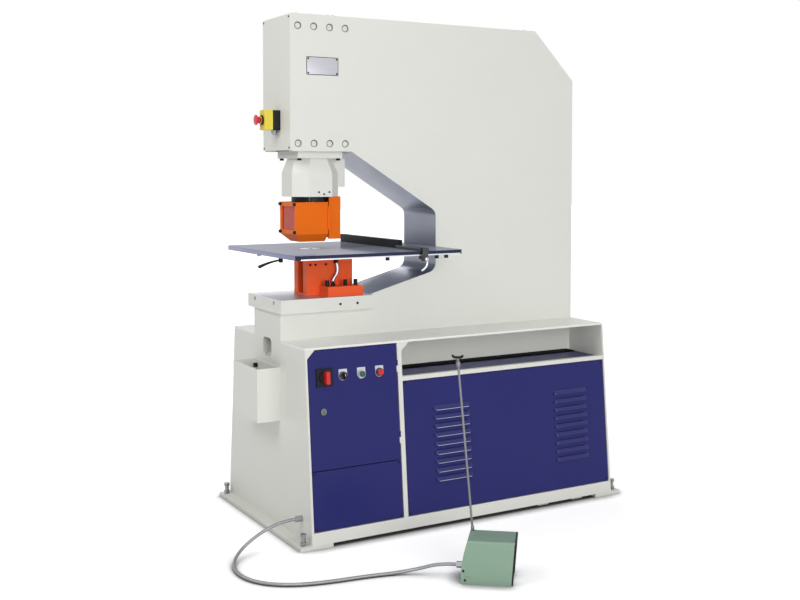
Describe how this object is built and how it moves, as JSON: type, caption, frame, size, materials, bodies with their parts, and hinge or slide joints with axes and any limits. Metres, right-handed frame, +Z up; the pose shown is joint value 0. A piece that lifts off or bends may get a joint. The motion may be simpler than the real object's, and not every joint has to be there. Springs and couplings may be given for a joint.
{
  "type": "single-station deep-throat hydraulic punching machine",
  "caption": "Cream and blue hydraulic punching machine with a deep C-frame throat, orange punch guard and die holder, steel work table and a foot switch on a conduit",
  "frame": {"origin": "on the floor under the middle of the base, in the mid-plane of the C-frame", "axes": "x along the machine with the punch head at -x, y across with the doors at -y, z up"},
  "size_m": [1.7442, 1.44, 1.94],
  "materials": {
    "cream_paint": "satin",
    "blue_paint": "satin",
    "orange_paint": "satin",
    "green_paint": "satin",
    "ground_steel": "brushed",
    "polished_table": "polished",
    "tool_steel": "ground",
    "bright_steel": "polished",
    "black_steel": "blackened",
    "black_plastic": "matte",
    "red_plastic": "gloss",
    "green_plastic": "gloss",
    "yellow_plastic": "gloss",
    "tinted_window": "clear",
    "grey_conduit": "matte",
    "motor_grey": "cast",
    "hose_rubber": "matte",
    "silver_plate": "satin"
  },
  "bodies": {
    "machine": {"base_floor_frame": "cream_paint", "levelling_screws": "bright_steel", "base_front_plate": "cream_paint", "base_rear_plate": "cream_paint", "base_deck": "cream_paint", "base_partition": "cream_paint", "base_far_panel": "cream_paint", "side_rail": "cream_paint", "door_hinges": "cream_paint", "lower_panel": "blue_paint", "louvre_panel": "blue_paint", "panel_screws": "black_steel", "component_plate": "ground_steel", "oil_tank": "blue_paint", "pump_motor": "motor_grey", "hydraulic_pump": "motor_grey", "valve_block": "ground_steel", "hydraulic_hoses": "hose_rubber", "frame_plate_near": "cream_paint", "frame_plate_far": "cream_paint", "throat_liner": "ground_steel", "closing_plate": "cream_paint", "head_bolts": "cream_paint", "head_cover": "cream_paint", "estop_rear": "black_plastic", "estop_box": "yellow_plastic", "cylinder": "ground_steel", "guide_housing": "cream_paint", "guide_collar": "black_steel", "guard_bracket": "orange_paint", "bolster": "cream_paint", "die_holder": "orange_paint", "die": "tool_steel", "table_plate": "polished_table", "slug_bin": "cream_paint", "cap_screws": "black_steel", "foot_switch": "green_paint", "carry_rod": "bright_steel", "conduit_glands": "bright_steel", "conduit": "grey_conduit"},
    "ram_unit": {"ram": "tool_steel", "punch_nut": "tool_steel", "punch": "tool_steel"},
    "guard_box": {"guard": "orange_paint", "guard_window": "tinted_window"},
    "estop_head": {"estop_button": "red_plastic"},
    "door": {"electrical_door": "blue_paint", "isolator_plate": "black_plastic", "legend_plates": "silver_plate"},
    "isolator": {"isolator_handle": "red_plastic"},
    "selector": {"selector_knob": "black_plastic"},
    "start": {"start_button": "green_plastic"},
    "stop": {"stop_button": "red_plastic"},
    "lock": {"door_lock": "black_plastic"},
    "gauge": {"gauge_bar": "black_steel", "gauge_carriage": "bright_steel"},
    "gauge_clamp": {"gauge_lever": "bright_steel"},
    "die_clamp": {"die_lever": "bright_steel"},
    "table_clamp": {"table_lever": "black_plastic"},
    "pedal": {"foot_pedal": "black_plastic"}
  },
  "joints": [
    {"name": "ram_slide", "type": "slide", "parent": "machine", "child": "ram_unit", "axis": [0, 0, -1], "range_m": [0, 0.06]},
    {"name": "guard_swing", "type": "hinge", "parent": "machine", "child": "guard_box", "pos_m": [-0.4595, -0.078, 1.105], "axis": [0, 0, 1], "range_deg": [0, 100]},
    {"name": "estop_press", "type": "slide", "parent": "machine", "child": "estop_head", "axis": [1, 0, 0], "range_m": [0, 0.005], "stiffness_N_per_m": 1000},
    {"name": "door_hinge", "type": "hinge", "parent": "machine", "child": "door", "pos_m": [-0.309, -0.37495, 0.27382], "axis": [0, 0.0884, 0.9961], "range_deg": [0, 100]},
    {"name": "isolator_turn", "type": "hinge", "parent": "door", "child": "isolator", "pos_m": [-0.613, -0.34568, 0.60382], "axis": [0, -0.9961, 0.0884], "range_deg": [-90, 0]},
    {"name": "selector_turn", "type": "hinge", "parent": "door", "child": "selector", "pos_m": [-0.5375, -0.34568, 0.60382], "axis": [0, -0.9961, 0.0884], "range_deg": [-45, 45]},
    {"name": "start_press", "type": "slide", "parent": "door", "child": "start", "axis": [0, 0.9961, -0.0884], "range_m": [0, 0.005], "stiffness_N_per_m": 500},
    {"name": "stop_press", "type": "slide", "parent": "door", "child": "stop", "axis": [0, 0.9961, -0.0884], "range_m": [0, 0.005], "stiffness_N_per_m": 500},
    {"name": "lock_turn", "type": "hinge", "parent": "door", "child": "lock", "pos_m": [-0.622, -0.3565, 0.48182], "axis": [0, -0.9961, 0.0884], "range_deg": [0, 90]},
    {"name": "gauge_slide", "type": "slide", "parent": "machine", "child": "gauge", "axis": [1, 0, 0], "range_m": [-0.2, 0.15]},
    {"name": "gauge_lever_turn", "type": "hinge", "parent": "gauge", "child": "gauge_clamp", "pos_m": [-0.19, -0.3523, 1.016], "axis": [0, 1, 0], "range_deg": [-45, 45]},
    {"name": "die_lever_turn", "type": "hinge", "parent": "machine", "child": "die_clamp", "pos_m": [-0.4235, -0.058, 0.996], "axis": [0, 1, 0], "range_deg": [-30, 30]},
    {"name": "table_lever_turn", "type": "hinge", "parent": "machine", "child": "table_clamp", "pos_m": [-0.6905, -0.142, 1.028], "axis": [0, 0, 1], "range_deg": [-40, 40]},
    {"name": "pedal_press", "type": "hinge", "parent": "machine", "child": "pedal", "pos_m": [-0.34571, -0.89726, 0.044], "axis": [0.6252, 0.7804, 0], "range_deg": [0, 12], "stiffness_Nm_per_rad": 6, "springref_deg": -6.88}
  ]
}
